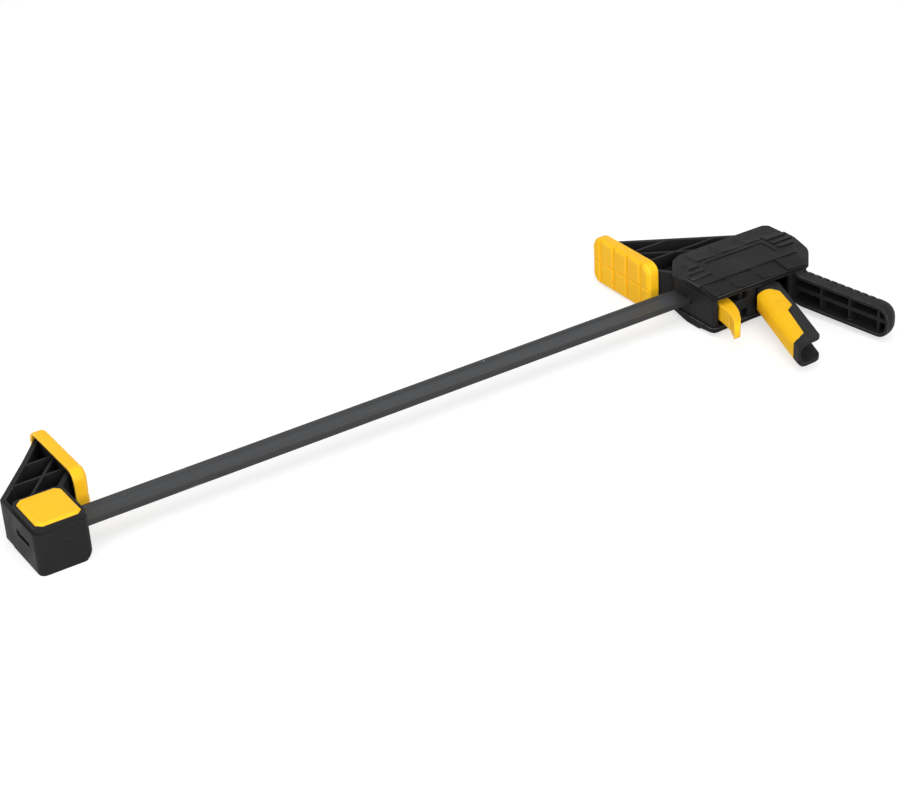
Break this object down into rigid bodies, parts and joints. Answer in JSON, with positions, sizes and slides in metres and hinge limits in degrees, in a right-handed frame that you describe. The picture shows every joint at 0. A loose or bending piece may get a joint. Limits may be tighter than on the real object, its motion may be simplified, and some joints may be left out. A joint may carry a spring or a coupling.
{
  "type": "quick release bar clamp",
  "caption": "One-handed bar clamp: a fixed jaw with a push button, a flat channelled steel bar, and a sliding head with a padded jaw, a squeeze lever and a release lever.",
  "frame": {"origin": "on the bar's centreline, in the plane of the fixed jaw's clamping face", "axes": "+X along the bar from the fixed jaw to the sliding head, +Y across the bar towards the jaws, +Z out of the side with the jaw button"},
  "size_m": [0.6258, 0.2185, 0.038],
  "materials": {
    "painted_steel": "satin",
    "black_plastic": "matte",
    "cover_plastic": "matte",
    "yellow_plastic": "satin",
    "grip_rubber": "matte",
    "bright_steel": "satin",
    "plate_steel": "satin",
    "spring_steel": "satin"
  },
  "bodies": {
    "bar_and_fixed_jaw": {"bar": "painted_steel", "bar_stop_pin": "bright_steel", "fixed_jaw_frame": "black_plastic", "fixed_jaw_pad": "yellow_plastic", "button_spring": "spring_steel"},
    "jaw_button": {"jaw_button": "yellow_plastic", "lock_peg": "bright_steel"},
    "head": {"head_frame": "black_plastic", "moving_jaw_pad": "yellow_plastic", "top_cover": "cover_plastic", "bottom_cover": "cover_plastic", "cover_screws": "bright_steel", "lever_pin": "bright_steel", "drive_spring": "spring_steel", "brake_spring": "spring_steel"},
    "squeeze_lever": {"squeeze_lever": "black_plastic", "squeeze_grip": "grip_rubber"},
    "drive_plates": {"drive_plate_front": "plate_steel", "drive_plate_rear": "plate_steel"},
    "release_lever": {"release_lever": "yellow_plastic", "brake_plate": "plate_steel"}
  },
  "joints": [
    {"name": "button_slide", "type": "slide", "parent": "bar_and_fixed_jaw", "child": "jaw_button", "axis": [0, 0, -1], "range_m": [0, 0.003], "stiffness_N_per_m": 800, "springref_m": -0.003, "deforming": ["button_spring"]},
    {"name": "head_slide", "type": "slide", "parent": "bar_and_fixed_jaw", "child": "head", "axis": [1, 0, 0], "range_m": [-0.45, 0]},
    {"name": "lever_pivot", "type": "hinge", "parent": "head", "child": "squeeze_lever", "pos_m": [0.5203, 0.015, 0], "axis": [0, 0, 1], "range_deg": [0, 13], "stiffness_Nm_per_rad": 1.2, "springref_deg": -8.59},
    {"name": "drive_slide", "type": "slide", "parent": "head", "child": "drive_plates", "axis": [1, 0, 0], "range_m": [0, 0.0031], "stiffness_N_per_m": 300, "springref_m": -0.006, "deforming": ["drive_spring"]},
    {"name": "release_pivot", "type": "hinge", "parent": "head", "child": "release_lever", "pos_m": [0.4753, 0.013, 0], "axis": [0, 0, 1], "range_deg": [0, 3], "stiffness_Nm_per_rad": 1.5, "springref_deg": -4.58, "deforming": ["brake_spring"]}
  ],
  "couplings": [
    {"joint": "drive_slide", "follows": "lever_pivot", "m_per_rad": 0.0133}
  ]
}
